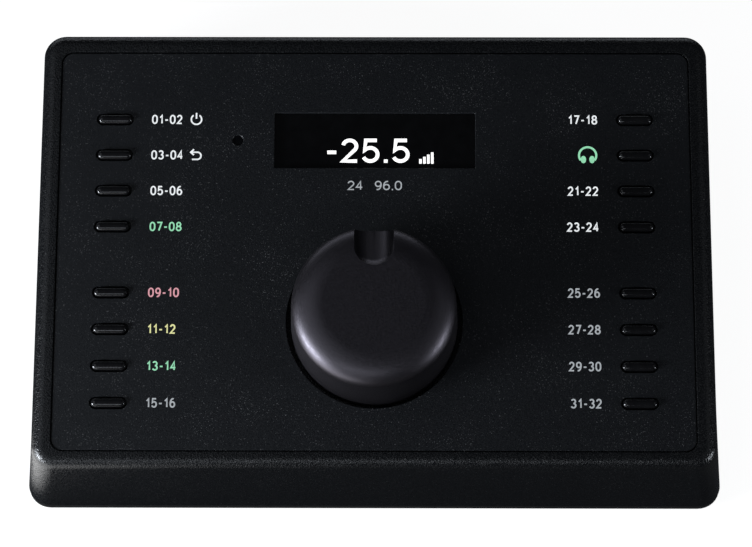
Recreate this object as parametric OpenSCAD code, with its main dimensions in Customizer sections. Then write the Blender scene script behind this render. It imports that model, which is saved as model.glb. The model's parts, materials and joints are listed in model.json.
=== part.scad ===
// Desktop monitor controller: a low wedge case with an inset front panel, a large volume knob,
// sixteen push-buttons and a display. Millimetres. The origin is on the desk under the middle
// of the case, X runs to the right, Y to the back and Z up.

/* [Case] */
// Width of the case at its foot
case_w = 184; // [184:1:224]
// Depth of the case at its foot
case_d = 130; // [130:1:160]
// Height of the front panel's front edge above the desk
panel_front_h = 25.5; // [25:0.1:32]
// Slope of the front panel, in degrees
slope = 12.2; // [11:0.1:15]
// Thickness of the case's walls
wall = 2.5; // [2:0.1:3]
// Radius of the upright corners at the foot
foot_corner_r = 6; // [5:0.5:10]
// Radius of the corners seen from above, at the top
top_corner_r = 6; // [5:0.5:8]
// Radius of the rounded edge round the top
edge_r = 3.4; // [3:0.1:3.6]
// How far the top's front corners stand in from the foot at each side
front_inset = 2.4; // [2:0.1:3]
// How far the top's back corners stand in from the foot at each side
back_inset = 2.6; // [2:0.1:3]

/* [Front panel] */
// Distance from the foot's side to the panel's side
panel_side_inset = 7.95; // [7.9:0.05:9]
// Distance from the foot's front to the panel's front edge
panel_front_inset = 6; // [6:0.1:7]
// Distance from the foot's back to the panel's back edge
panel_back_inset = 17.3; // [17:0.1:20]
// Thickness of the panel
panel_t = 1; // [0.8:0.1:1.2]
// Radius of the panel's corners
panel_corner_r = 3; // [2:0.5:5]
// Gap round the panel
panel_gap = 0.25; // [0.2:0.05:0.4]
// How far the case's rim stands above the panel
rim_lip = 0.3; // [0.2:0.1:0.6]
// Width of the flat rim in front of the panel
rim_front = 1.5; // [1.2:0.1:2]
// Width of the flat rim behind the panel
rim_back = 2.2; // [1.2:0.1:3]
// Thickness of the deck that carries the panel
deck_t = 2.5; // [2:0.1:3]

/* [Knob] */
// Distance from the panel's front edge up to the knob's centre
knob_v = 34.5; // [33:0.1:36]
// Diameter of the knob at its foot
knob_d = 44; // [44:0.5:53]
// Diameter at the top of the knob's side
knob_top_d = 42.8; // [37:0.2:43.6]
// Height of the knob above the panel
knob_h = 20.5; // [18:0.5:24]
// Radius of the knob's rounded top edge
knob_edge_r = 5; // [3:0.5:6]
// Gap round the knob in the panel
knob_gap = 1.2; // [0.8:0.1:1.5]
// Depth of the knob's well under the panel
knob_well = 4.5; // [4:0.1:5]
// Radius of the finger notch
notch_r = 5.2; // [4:0.1:6]
// Distance from the knob's centre to the notch's inner end
notch_start = 15.2; // [14:0.1:16]
// How steeply the notch falls towards the knob's side, in degrees
notch_tilt = 26; // [0:1:30]
// Diameter of the encoder's shaft
shaft_d = 6; // [5:0.5:6]

/* [Buttons] */
// Length of a button
button_l = 9; // [8:0.5:10]
// Width of a button
button_w = 2.4; // [2:0.1:3]
// Height of a button's crest above the panel
button_proud = 1; // [0.8:0.1:1.4]
// Travel of a button
button_travel = 0.6; // [0.4:0.1:0.8]
// Gap round a button in its slot
button_gap = 0.4; // [0.3:0.05:0.5]
// Distance from the panel's side to the middle of the buttons
button_side = 14.55; // [14:0.05:15]
// Distance between rows
row_pitch = 9.95; // [9.5:0.05:11.9]
// Distance from the panel's front edge to the lowest row
first_row_v = 12.65; // [12.5:0.05:14]
// Extra distance between the two groups of rows
group_gap = 8.15; // [8:0.05:9]

/* [Display] */
// Width of the window
window_w = 53.7; // [48:0.1:64]
// Height of the window
window_l = 15.4; // [14:0.1:16]
// Distance from the panel's front edge to the window's middle
window_v = 84.65; // [84:0.05:86]
// Thickness of the glass
glass_t = 1.2; // [0.8:0.1:1.6]
// Diameter of the sensor's hole
sensor_d = 2.9; // [2.5:0.1:3.5]
// Distance of the sensor to the left of the centre
sensor_u = 36.6; // [35:0.1:38]

/* [Inside] */
// Thickness of the circuit boards
board_t = 1.6; // [1.2:0.1:2]
// Depth of the control board's face under the panel
control_depth = 13; // [12.5:0.5:14]
// Height of the main board's underside above the base plate
standoff_h = 5; // [4:0.5:6]

/* [Base] */
// Thickness of the base plate
base_t = 1.9; // [1.6:0.1:2.4]
// Gap round the base plate
base_gap = 0.05; // [0.05:0.05:0.6]
// Size of the bevel round the base plate's lower edge
base_bevel = 0.3; // [0.2:0.1:1]
// Height of the feet under the base plate
foot_h = 1.1; // [1:0.1:3]
// Diameter of the feet
foot_d = 12; // [8:1:14]

/* [Rear sockets] */
// Diameter of the jack sockets' bore, for a 6.35 mm plug
jack_bore_d = 6.5; // [6.4:0.05:6.7]
// Distance between the line jacks
jack_pitch = 18; // [17:0.5:18]
// Height of the opening in the rear wall
bay_h = 20; // [20:1:22]
// Width of the opening in the rear wall
bay_w = 160; // [158:1:162]
// Thickness of the rear plate
rear_plate_t = 1.5; // [1:0.1:2]

/* [Hidden] */
$fn = 64;
// Sides of a round that is blended with others
blend_fn = 32;
// Small overlap that lets a cut pass through a face
eps = 0.02;
// Clearance of a shaft, a plunger or a screw in its hole
fit = 0.05;
// Clearance of a piece that is dropped into its seat
seat_gap = 0.2;

// Heights above the desk
seam_z = foot_h + base_t;
main_board_z = seam_z + standoff_h;
main_top_z = main_board_z + board_t;

// Height of the upright band round the case's foot
foot_band = 0.4;

// The panel's own frame: u across, v up the slope from its front edge, h out of its face
panel_w = case_w - 2 * panel_side_inset;
panel_y = -case_d / 2 + panel_front_inset;
panel_l = (case_d - panel_front_inset - panel_back_inset) / cos(slope);
deck_h = -panel_t - deck_t;
control_h = -control_depth;

// The knob and its drive
knob_well_d = knob_d + 2 * knob_gap;
well_floor_t = 2;
well_wall = 2.8;
well_h = -knob_well;
encoder_top_h = well_h - well_floor_t;
encoder_w = 13;
encoder_floor_t = 0.9;
bush_d = 9;
bush_l = 4.2;
nut_t = 2;
washer_t = 0.5;
nut_af = 11;
washer_d = 13;
knob_floor_gap = 1.5;
knob_foot_h = well_h + knob_floor_gap;
knob_hollow_d = 19;
knob_hollow_h = 2;
sleeve_d = 10;
sleeve_h = 11;
sleeve_end_t = 0.8;
shaft_top_h = knob_hollow_h + sleeve_h - sleeve_end_t - seat_gap;
shaft_end_h = control_h + encoder_floor_t + fit;

// Button rows, from the back to the front
rows = [for (i = [7 : -1 : 0]) first_row_v + i * row_pitch + (i > 3 ? group_gap : 0)];
button_u = panel_w / 2 - button_side;
slot_l = button_l + 2 * button_gap;
slot_w = button_w + 2 * button_gap;
crown_bulge = 0.56;
crown_r = button_w * crown_bulge;
flange_lap = 0.8;
flange_t = 0.8;
stem_d = 3.4;
switch_w = 6;
switch_h = 3.5;
switch_floor = 0.3;
stem_end_h = control_h + switch_floor + button_travel + seat_gap;

// Lit legends beside the buttons
legend_w = 16;
legend_l = 4.4;
legend_gap = 5.1;
legend_u = button_u - button_l / 2 - legend_gap - legend_w / 2;
guide_t = 1.5;
guide_margin = 2;
guide_leg_d = 4;
guide_edge_u = legend_u - legend_w / 2 - guide_margin;
led = [3.2, 2.8, 1.9];
led_offset = 4.5;

// Display
module_lap = 2;
module_t = 3.5;
module_leg_d = 3;
glass_w = window_w + 2 * module_lap;
glass_l = window_l + 2 * module_lap;
module_h = -panel_t - glass_t - module_t;

// Control board and the pillars that carry it
control_side = 7;
control_w = panel_w - 2 * control_side;
control_margin = 4;
control_l = panel_l - 2 * control_margin;
pillar_d = 6;
pillar_screw_d = 2.5;
pillar_space = 2.9;
pillar_end = 7.5;
pillar_u = guide_edge_u - pillar_space - pillar_d / 2;
pillar_side_u = control_w / 2 - pillar_d / 2 - fit;
pillars = [[pillar_u, pillar_end], [pillar_side_u, (rows[3] + rows[4]) / 2],
           [pillar_u, panel_l - pillar_end]];
screw_hole_gap = 0.25;
rib_t = 1.5;
rib_h = 3;
rib_end = 6;
rib_u = glass_w / 2 + seat_gap + rib_t;
screw_head_d = 5;
screw_head_t = 1.6;
board_screw_l = 5;

// Base plate, its screws and feet
base_screw_d = 3;
base_hole_d = 3.4;
base_head_d = 6;
base_head_t = 1.3;
base_boss_d = 8;
base_boss_h = 70;
base_screw_l = 10;
base_screw_inset = 8;
base_screw_x = case_w / 2 - base_screw_inset;
base_screw_y = case_d / 2 - base_screw_inset;
hex_key_af = 2;
hex_key_depth = 0.8;
foot_side_inset = 20;
foot_end_inset = 16;
foot_x = case_w / 2 - foot_side_inset;
foot_y = case_d / 2 - foot_end_inset;
foot_recess = 0.6;
foot_bevel = 0.5;

// Rear bay, its plate and the sockets on the main board
bay_sill = 4;
bay_z = seam_z + bay_sill;
bay_corner_r = 2;
bay_frame = 2.5;
bay_depth = 9;
plate_y = case_d / 2 - bay_depth;
plate_back_y = plate_y - rear_plate_t;
plate_lap = 2;
plate_w = bay_w + 2 * plate_lap;
board_w = 158;
board_d = 49;
board_gap = 0.5;
board_y = plate_back_y - board_gap - board_d;
jack_axis_h = 6.2;
jack_z = main_top_z + jack_axis_h;
jack_body = [15.9, 25, 12.3];
jack_bush_d = 9.5;
jack_bush_l = 4.5;
jack_nut_af = 12;
jack_bore_l = 26;
headphone_x = 68;
line_jack_x = [for (i = [0 : 3]) 48 - i * jack_pitch];
network_x = [-42, -60];
network_body = [15.9, 21, 13.4];
network_port = [11.8, 14, 6.8];
network_latch = [6, 2.4];
network_port_sill = 2;
usb_x = -25;
usb_shell = [8.9, 3.2];
usb_wall = 0.3;
usb_l = 8;
usb_back_t = 1;
usb_base = [9.6, 7.5, 3.9];
usb_overlap = 1.5;
usb_tongue = [6.6, 6.5, 0.7];
usb_tongue_end = 0.5;
power_x = -74;
power_body = [9, 14, 11];
power_bore_z = 6.3;
power_bore_d = 5.7;
power_bore_l = 9.5;
power_pin_d = 2;
power_pin_end = 1.5;
standoff_x = 70;
standoff_y = [5, 16];
standoffs = [for (x = [-standoff_x, standoff_x]) for (y = standoff_y) [x, board_y + y]];
standoff_af = 5.5;
standoff_floor = 0.6;

// Larger components on the main board, in front of the sockets
processor = [14, 14, 1.4];
processor_x = -28;
codec = [7, 7, 1];
codec_x = [20, 32, 44];
chip_y = board_y + 12;
capacitor_d = 6.3;
capacitor_h = 7.2;
capacitor_base = [6.6, 6.6, 0.8];
capacitor_x = [-58, -50, -42, 56];

// Infrared receiver behind the sensor's lens
receiver = [6, 5, 4];

// Ribbon between the boards
ribbon_w = 14;
ribbon_t = 0.8;
ribbon_y = board_y + 8;
plug = [16, 6, 4.5];
plug_overlap = 1.5;

SIDES = [["left", -1], ["right", 1]];

// ---------------------------------------------------------------- shared shapes

// Places children in the panel's own frame.
module on_panel(u = 0, v = 0, h = 0) {
    translate([0, panel_y, panel_front_h]) rotate([slope, 0, 0]) translate([u, v, h]) children();
}

// Places children at the four corners that lie x and y from the centre.
module at_corners(x, y) {
    for (sx = [-1, 1], sy = [-1, 1]) translate([sx * x, sy * y, 0]) children();
}

module rounded_outline(w, l, r) {
    offset(r = r, $fn = blend_fn) square([w - 2 * r, l - 2 * r], center = true);
}

module stadium(l, w) {
    square([l - w, w], center = true);
    for (s = [-1, 1]) translate([s * (l - w) / 2, 0]) circle(d = w);
}

module hexagon(af, h) {
    cylinder(d = af / cos(30), h = h, $fn = 6);
}

// A pan-head screw whose head lies under its own origin and whose shank runs up.
module pan_screw(d, l) {
    translate([0, 0, -screw_head_t]) cylinder(d = screw_head_d, h = screw_head_t);
    cylinder(d = d, h = l);
}

// ---------------------------------------------------------------- case

// The outer wedge: foot outline below, four rounded corners of the sloping top above.
module outer_form() {
    u = case_w / 2 - top_corner_r;
    v_low = -rim_front - edge_r + top_corner_r;
    v_high = panel_l + rim_back + edge_r - top_corner_r;
    hull() {
        translate([0, 0, seam_z])
            linear_extrude(foot_band) rounded_outline(case_w, case_d, foot_corner_r);
        for (s = [-1, 1], corner = [[u - front_inset, v_low], [u - back_inset, v_high]])
            on_panel(s * corner[0], corner[1], rim_lip - edge_r)
                rotate_extrude($fn = blend_fn) intersection() {
                    translate([top_corner_r - edge_r, 0]) circle(r = edge_r, $fn = blend_fn);
                    translate([0, -edge_r]) square([top_corner_r, 2 * edge_r]);
                }
    }
}

// The hollow inside the walls and under the deck.
module inner_form() {
    r = foot_corner_r - wall;
    u = case_w / 2 - wall - r;
    v_low = -rim_front - edge_r + wall + r;
    v_high = panel_l + rim_back + edge_r - wall - r;
    hull() {
        translate([0, 0, seam_z - 1])
            linear_extrude(foot_band + 1)
                rounded_outline(case_w - 2 * wall, case_d - 2 * wall, r);
        for (s = [-1, 1], corner = [[u - front_inset, v_low], [u - back_inset, v_high]])
            on_panel(s * corner[0], corner[1], deck_h - eps)
                cylinder(r = r, h = eps, $fn = blend_fn);
    }
}

// The knob's well, the board pillars and the stiffening ribs, which hang from the deck.
module deck_features() {
    on_panel(0, knob_v, encoder_top_h)
        cylinder(d = knob_well_d + 2 * well_wall, h = deck_h - encoder_top_h + deck_t / 2);
    for (s = [-1, 1], p = pillars)
        on_panel(s * p[0], p[1], control_h)
            cylinder(d = pillar_d, h = deck_h - control_h + deck_t / 2);
    for (s = [-1, 1])
        on_panel(s * rib_u - rib_t / 2, rib_end, deck_h - rib_h)
            cube([rib_t, panel_l - 2 * rib_end, rib_h + deck_t / 2]);
}

// The screw bosses and the frame of the rear bay, which run into the walls.
module wall_features() {
    at_corners(base_screw_x, base_screw_y)
        translate([0, 0, seam_z]) cylinder(d = base_boss_d, h = base_boss_h);
    translate([-bay_w / 2 - bay_frame, plate_y, bay_z - bay_frame])
        cube([bay_w + 2 * bay_frame, case_d, bay_h + 2 * bay_frame]);
}

module deck_openings() {
    on_panel(0, knob_v, well_h) cylinder(d = knob_well_d, h = knob_well + 2);
    on_panel(0, knob_v, encoder_top_h - eps) cylinder(d = bush_d + 2 * fit, h = knob_well + 2);
    for (s = [-1, 1], v = rows) {
        on_panel(s * button_u, v, deck_h - eps) linear_extrude(deck_t + 1) stadium(slot_l, slot_w);
        on_panel(s * legend_u, v, deck_h - eps)
            linear_extrude(deck_t + 1) square([legend_w, legend_l], center = true);
    }
    on_panel(0, window_v, deck_h - eps)
        linear_extrude(deck_t + 1)
            square([glass_w + 2 * seat_gap, glass_l + 2 * seat_gap], center = true);
    on_panel(-sensor_u, window_v, deck_h - eps) cylinder(d = sensor_d, h = deck_t + 1);
}

module top_case() {
    color("#1c1c1e") difference() {
        outer_form();
        difference() {
            inner_form();
            deck_features();
            wall_features();
        }
        on_panel(0, panel_l / 2, -panel_t)
            linear_extrude(panel_t + rim_lip + 1)
                rounded_outline(panel_w + 2 * panel_gap, panel_l + 2 * panel_gap,
                                panel_corner_r + panel_gap);
        deck_openings();
        for (s = [-1, 1], p = pillars)
            on_panel(s * p[0], p[1], control_h - eps)
                cylinder(d = pillar_screw_d + 2 * fit, h = board_screw_l + 1);
        at_corners(base_screw_x, base_screw_y)
            translate([0, 0, seam_z - eps])
                cylinder(d = base_screw_d + 2 * fit, h = base_screw_l + 1);
        translate([0, plate_y - 1, bay_z + bay_h / 2])
            rotate([-90, 0, 0])
                linear_extrude(case_d) rounded_outline(bay_w, bay_h, bay_corner_r);
        translate([-plate_w / 2 - seat_gap, plate_back_y - 1, bay_z - plate_lap - seat_gap])
            cube([plate_w + 2 * seat_gap, rear_plate_t + 1, bay_h + 2 * plate_lap + 2 * seat_gap]);
    }
}

module base_plate() {
    w = case_w - 2 * base_gap;
    d = case_d - 2 * base_gap;
    color("#161618") difference() {
        hull() {
            translate([0, 0, foot_h + base_bevel])
                linear_extrude(base_t - base_bevel) rounded_outline(w, d, foot_corner_r);
            translate([0, 0, foot_h])
                linear_extrude(eps)
                    rounded_outline(w - 2 * base_bevel, d - 2 * base_bevel, foot_corner_r - base_bevel);
        }
        at_corners(base_screw_x, base_screw_y) {
            translate([0, 0, foot_h - eps]) cylinder(d = base_hole_d, h = base_t + 1);
            translate([0, 0, foot_h - eps])
                cylinder(d1 = base_head_d + 2 * fit, d2 = base_hole_d, h = base_head_t + fit);
        }
        at_corners(foot_x, foot_y)
            translate([0, 0, foot_h - eps]) cylinder(d = foot_d + 2 * fit, h = foot_recess + eps);
    }
}

module base_screws() {
    color("#303032") at_corners(base_screw_x, base_screw_y) translate([0, 0, foot_h]) {
        difference() {
            cylinder(d1 = base_head_d - 2 * fit, d2 = base_screw_d, h = base_head_t);
            translate([0, 0, -eps]) hexagon(hex_key_af, hex_key_depth);
        }
        translate([0, 0, hex_key_depth + seat_gap]) cylinder(d = base_screw_d, h = base_screw_l);
    }
}

module rubber_feet() {
    color("#0d0d0e") at_corners(foot_x, foot_y) {
        translate([0, 0, foot_bevel])
            cylinder(d = foot_d, h = foot_h + foot_recess - foot_bevel);
        cylinder(d1 = foot_d - 2 * foot_bevel, d2 = foot_d, h = foot_bevel);
    }
}

// ---------------------------------------------------------------- front panel and display

module front_panel() {
    color("#1e1e20") difference() {
        on_panel(0, panel_l / 2, -panel_t)
            linear_extrude(panel_t) rounded_outline(panel_w, panel_l, panel_corner_r);
        on_panel(0, knob_v, -panel_t - 1) cylinder(d = knob_well_d, h = panel_t + 2);
        for (s = [-1, 1], v = rows)
            on_panel(s * button_u, v, -panel_t - 1)
                linear_extrude(panel_t + 2) stadium(slot_l, slot_w);
        on_panel(0, window_v, -panel_t - 1)
            linear_extrude(panel_t + 2) square([window_w, window_l], center = true);
        on_panel(-sensor_u, window_v, -panel_t - 1) cylinder(d = sensor_d, h = panel_t + 2);
    }
}

module display_glass() {
    color("#08080a") on_panel(0, window_v, -panel_t - glass_t)
        linear_extrude(glass_t) square([glass_w, glass_l], center = true);
}

module display_module() {
    leg_x = glass_w / 2 - module_leg_d / 2;
    leg_y = glass_l / 2 - module_leg_d / 2;
    color("#2c4a38") on_panel(0, window_v) {
        translate([0, 0, module_h])
            linear_extrude(module_t) square([glass_w, glass_l], center = true);
        at_corners(leg_x, leg_y)
            translate([0, 0, control_h]) cylinder(d = module_leg_d, h = module_h - control_h + 1);
    }
}

// Dark rod that leads infrared light down to its receiver.
module sensor_lens() {
    h = control_h + receiver[2];
    color("#240a0e") on_panel(-sensor_u, window_v, h)
        cylinder(d = sensor_d - 2 * fit, h = -rim_lip - h);
}

module sensor_receiver() {
    color("#1a1418") on_panel(-sensor_u - receiver[0] / 2, window_v - receiver[1] / 2, control_h)
        cube(receiver);
}

// Clear guide that lights the legends of one side: a plate, pads in the deck's windows, legs.
module legend_guide(side) {
    v_mid = (rows[0] + rows[7]) / 2;
    v_span = rows[0] - rows[7] + legend_l;
    color("#c8d2d6") on_panel(side * legend_u) {
        translate([0, v_mid, deck_h - guide_t])
            linear_extrude(guide_t)
                square([legend_w + 2 * guide_margin, v_span + 2 * guide_margin], center = true);
        for (v = rows) translate([0, v, deck_h - eps])
            linear_extrude(deck_t + eps)
                square([legend_w - 2 * seat_gap, legend_l - 2 * seat_gap], center = true);
        for (v = [rows[0], v_mid, rows[7]])
            translate([0, v, control_h])
                cylinder(d = guide_leg_d, h = deck_h - guide_t - control_h + eps);
    }
}

// One lamp on the control board under each legend, beside the guide's legs.
module legend_lamps() {
    color("#e6e2c8") for (s = [-1, 1], v = rows)
        on_panel(s * (legend_u + led_offset), v, control_h)
            translate([-led[0] / 2, -led[1] / 2, 0]) cube(led);
}

// ---------------------------------------------------------------- control board, buttons, encoder

module control_board() {
    color("#1d4a2c") difference() {
        on_panel(0, panel_l / 2, control_h - board_t)
            linear_extrude(board_t) square([control_w, control_l], center = true);
        for (s = [-1, 1], p = pillars)
            on_panel(s * p[0], p[1], control_h - board_t - 1)
                cylinder(d = pillar_screw_d + 2 * screw_hole_gap, h = board_t + 2);
    }
}

module control_screws() {
    color("#b8babd") for (s = [-1, 1], p = pillars)
        on_panel(s * p[0], p[1], control_h - board_t)
            pan_screw(pillar_screw_d, board_t + board_screw_l);
}

module button_switches() {
    color("#3a3a3c") for (s = [-1, 1], v = rows) on_panel(s * button_u, v, control_h)
        difference() {
            translate([-switch_w / 2, -switch_w / 2, 0]) cube([switch_w, switch_w, switch_h]);
            translate([0, 0, switch_floor]) cylinder(d = stem_d + 2 * fit, h = switch_h);
        }
}

// Cross-section of a cap: straight sides and a crown.
module cap_section() {
    low = deck_h;
    crown_h = button_proud - crown_r;
    translate([-button_w / 2, low]) square([button_w, crown_h - low]);
    intersection() {
        translate([-button_w / 2, crown_h - eps]) square([button_w, 2 * crown_r]);
        translate([0, crown_h]) circle(r = crown_r);
    }
}

// A button: crowned cap, flange under the deck, stem down into its switch.
module button(side, v) {
    reach = (button_l - button_w) / 2;
    color("#0b0b0c") on_panel(side * button_u, v) {
        translate([-reach, 0, 0]) rotate([90, 0, 90]) linear_extrude(2 * reach) cap_section();
        for (e = [-1, 1]) translate([e * reach, 0, 0])
            rotate([0, 0, -90 * e])
                rotate_extrude(angle = 180) intersection() {
                    cap_section();
                    translate([0, deck_h]) square([button_w, button_proud - deck_h + 1]);
                }
        translate([0, 0, deck_h - flange_t])
            linear_extrude(flange_t) stadium(slot_l + 2 * flange_lap, slot_w + 2 * flange_lap);
        translate([0, 0, stem_end_h]) cylinder(d = stem_d, h = deck_h - stem_end_h - flange_t + eps);
    }
}

module encoder_body() {
    h = encoder_top_h - control_h;
    color("#4a4c50") on_panel(0, knob_v, control_h) difference() {
        union() {
            translate([-encoder_w / 2, -encoder_w / 2, 0]) cube([encoder_w, encoder_w, h]);
            cylinder(d = bush_d, h = well_h + bush_l - control_h);
        }
        translate([0, 0, encoder_floor_t]) cylinder(d = shaft_d + 2 * fit, h = control_depth);
    }
}

module encoder_nut() {
    color("#c9c9c4") on_panel(0, knob_v, well_h) difference() {
        union() {
            cylinder(d = washer_d, h = washer_t);
            translate([0, 0, washer_t]) hexagon(nut_af, nut_t);
        }
        translate([0, 0, -eps]) cylinder(d = bush_d + 2 * fit, h = washer_t + nut_t + 1);
    }
}

module encoder_shaft() {
    color("#d0d0d2") on_panel(0, knob_v, shaft_end_h)
        cylinder(d = shaft_d, h = shaft_top_h - shaft_end_h);
}

module knob_sleeve() {
    color("#b5964a") on_panel(0, knob_v, knob_hollow_h) difference() {
        cylinder(d = sleeve_d, h = sleeve_h);
        translate([0, 0, -eps]) cylinder(d = shaft_d + 2 * fit, h = sleeve_h - sleeve_end_t);
    }
}

// Half of the knob's outline: a side that tapers a little and a rounded top edge.
module knob_profile() {
    hull() {
        translate([0, knob_foot_h]) square([knob_d / 2, eps]);
        translate([0, knob_foot_h]) square([1, knob_h - knob_foot_h]);
        translate([knob_top_d / 2 - knob_edge_r, knob_h - knob_edge_r]) intersection() {
            circle(r = knob_edge_r);
            square(knob_edge_r);
        }
    }
}

// The finger notch: a slanting trough with a round floor, upright sides and a round inner end.
module notch() {
    translate([0, notch_start, knob_h]) rotate([-90 - notch_tilt, 0, 0]) {
        linear_extrude(knob_d / 2) {
            circle(r = notch_r);
            translate([-notch_r, -2 * notch_r]) square([2 * notch_r, 2 * notch_r]);
        }
        sphere(r = notch_r);
    }
}

module volume_knob() {
    color("#39373c") on_panel(0, knob_v) difference() {
        rotate_extrude($fn = 128) knob_profile();
        translate([0, 0, knob_foot_h - eps])
            cylinder(d = knob_hollow_d, h = knob_hollow_h - knob_foot_h + eps);
        translate([0, 0, knob_hollow_h - eps]) cylinder(d = sleeve_d + 2 * fit, h = sleeve_h + fit);
        notch();
    }
}

// ---------------------------------------------------------------- main board and rear sockets

module main_board() {
    color("#1d4a2c") difference() {
        translate([-board_w / 2, board_y, main_board_z]) cube([board_w, board_d, board_t]);
        for (p = standoffs) translate([p[0], p[1], main_board_z - 1])
            cylinder(d = pillar_screw_d + 2 * screw_hole_gap, h = board_t + 2);
    }
}

module main_chips() {
    color("#18181a") {
        translate([processor_x - processor[0] / 2, chip_y - processor[1] / 2, main_top_z])
            cube(processor);
        for (x = codec_x)
            translate([x - codec[0] / 2, chip_y - codec[1] / 2, main_top_z]) cube(codec);
    }
}

module capacitors() {
    color("#a9abb0") for (x = capacitor_x) translate([x, chip_y, main_top_z]) {
        translate([-capacitor_base[0] / 2, -capacitor_base[1] / 2, 0]) cube(capacitor_base);
        cylinder(d = capacitor_d, h = capacitor_h);
    }
}

module board_standoffs() {
    color("#b5964a") for (p = standoffs) translate([p[0], p[1], seam_z]) difference() {
        hexagon(standoff_af, standoff_h);
        translate([0, 0, standoff_floor])
            cylinder(d = pillar_screw_d + 2 * fit, h = standoff_h);
    }
}

module board_screws() {
    color("#b8babd") for (p = standoffs)
        translate([p[0], p[1], main_top_z]) mirror([0, 0, 1])
            pan_screw(pillar_screw_d, board_t + standoff_h - 2 * standoff_floor);
}

// Flat cable between the boards: a plug on each board and one bend of ribbon.
module ribbon_cable() {
    upper_v = (ribbon_y - panel_y + (control_h - board_t) * sin(slope)) / cos(slope);
    upper_z = panel_front_h + upper_v * sin(slope) + (control_h - board_t) * cos(slope);
    low_z = main_top_z + plug[2];
    high_z = upper_z - plug[2] + plug_overlap;
    mid_z = (low_z + high_z) / 2;
    bend_r = (high_z - low_z) / 2;
    color("#9a9ca0") {
        translate([-plug[0] / 2, ribbon_y - plug[1] / 2, main_top_z]) cube(plug);
        on_panel(0, upper_v, control_h - board_t - plug[2])
            translate([-plug[0] / 2, -plug[1] / 2, 0]) cube(plug);
        translate([-ribbon_w / 2, ribbon_y, mid_z]) rotate([90, 0, 90]) linear_extrude(ribbon_w)
            difference() {
                circle(r = bend_r + ribbon_t);
                circle(r = bend_r);
                translate([0, -2 * bend_r - 1]) square(4 * bend_r + 2);
            }
    }
}

module rear_plate() {
    color("#1a1a1c") difference() {
        translate([-plate_w / 2, plate_back_y, bay_z - plate_lap])
            cube([plate_w, rear_plate_t, bay_h + 2 * plate_lap]);
        for (x = concat([headphone_x], line_jack_x))
            translate([x, plate_back_y - 1, jack_z])
                rotate([-90, 0, 0]) cylinder(d = jack_bush_d + 2 * seat_gap, h = rear_plate_t + 2);
        for (x = network_x) socket_cut(x, network_body[0], network_body[2]);
        socket_cut(power_x, power_body[0], power_body[2]);
        translate([usb_x, plate_back_y - 1, main_top_z + usb_base[2] / 2])
            rotate([-90, 0, 0]) linear_extrude(rear_plate_t + 2)
                stadium(usb_shell[0] + 2 * seat_gap, usb_shell[1] + 2 * seat_gap);
    }
}

module socket_cut(x, w, h) {
    translate([x - w / 2 - seat_gap, plate_back_y - 1, main_top_z - seat_gap])
        cube([w + 2 * seat_gap, rear_plate_t + 2, h + 2 * seat_gap]);
}

module jack(x) {
    translate([x, plate_back_y, jack_z]) difference() {
        union() {
            translate([-jack_body[0] / 2, -jack_body[1], main_top_z - jack_z]) cube(jack_body);
            rotate([-90, 0, 0]) cylinder(d = jack_bush_d, h = jack_bush_l);
        }
        translate([0, jack_bush_l - jack_bore_l, 0])
            rotate([-90, 0, 0]) cylinder(d = jack_bore_d, h = jack_bore_l + 1);
    }
}

module headphone_jack() {
    color("#101012") jack(headphone_x);
}

module line_jacks() {
    color("#101012") for (x = line_jack_x) jack(x);
}

module jack_nuts() {
    color("#8f9194") for (x = concat([headphone_x], line_jack_x))
        translate([x, plate_y, jack_z]) rotate([-90, 0, 0]) difference() {
            hexagon(jack_nut_af, nut_t);
            translate([0, 0, -1]) cylinder(d = jack_bush_d + 2 * fit, h = nut_t + 2);
        }
}

module network_sockets() {
    color("#9fa1a5") for (x = network_x)
        translate([x, plate_y, main_top_z]) difference() {
            translate([-network_body[0] / 2, -network_body[1], 0]) cube(network_body);
            translate([-network_port[0] / 2, -network_port[1], network_port_sill]) {
                cube([network_port[0], network_port[1] + 1, network_port[2]]);
                translate([(network_port[0] - network_latch[0]) / 2, 0, network_port[2] - eps])
                    cube([network_latch[0], network_port[1] + 1, network_latch[1]]);
            }
        }
}

module usb_socket() {
    mid = usb_base[2] / 2;
    color("#b4b6ba") translate([usb_x, plate_y, main_top_z]) {
        translate([0, -usb_l, mid]) rotate([-90, 0, 0]) difference() {
            linear_extrude(usb_l) stadium(usb_shell[0], usb_shell[1]);
            translate([0, 0, usb_back_t])
                linear_extrude(usb_l) stadium(usb_shell[0] - 2 * usb_wall, usb_shell[1] - 2 * usb_wall);
        }
        translate([-usb_tongue[0] / 2, usb_tongue_end - usb_l, mid - usb_tongue[2] / 2])
            cube(usb_tongue);
        translate([-usb_base[0] / 2, usb_overlap - usb_l - usb_base[1], 0]) cube(usb_base);
    }
}

module power_socket() {
    color("#101012") translate([power_x, plate_y, main_top_z]) {
        difference() {
            translate([-power_body[0] / 2, -power_body[1], 0]) cube(power_body);
            translate([0, -power_bore_l, power_bore_z])
                rotate([-90, 0, 0]) cylinder(d = power_bore_d, h = power_bore_l + 1);
        }
        translate([0, -power_bore_l - eps, power_bore_z])
            rotate([-90, 0, 0]) cylinder(d = power_pin_d, h = power_bore_l - power_pin_end);
    }
}

// ---------------------------------------------------------------- nodes

top_case();
base_plate();
front_panel();
display_glass();
display_module();
sensor_lens();
sensor_receiver();
legend_guide(-1);  // legend_guide_left
legend_guide(1);  // legend_guide_right
legend_lamps();
control_board();
control_screws();
button_switches();
encoder_body();
encoder_nut();
encoder_shaft();
knob_sleeve();
volume_knob();
main_board();
main_chips();
capacitors();
board_standoffs();
board_screws();
ribbon_cable();
rear_plate();
headphone_jack();
line_jacks();
jack_nuts();
network_sockets();
usb_socket();
power_socket();
base_screws();
rubber_feet();
for (s = SIDES, i = [1 : 8])
    button(s[1], rows[i - 1]);
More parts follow.
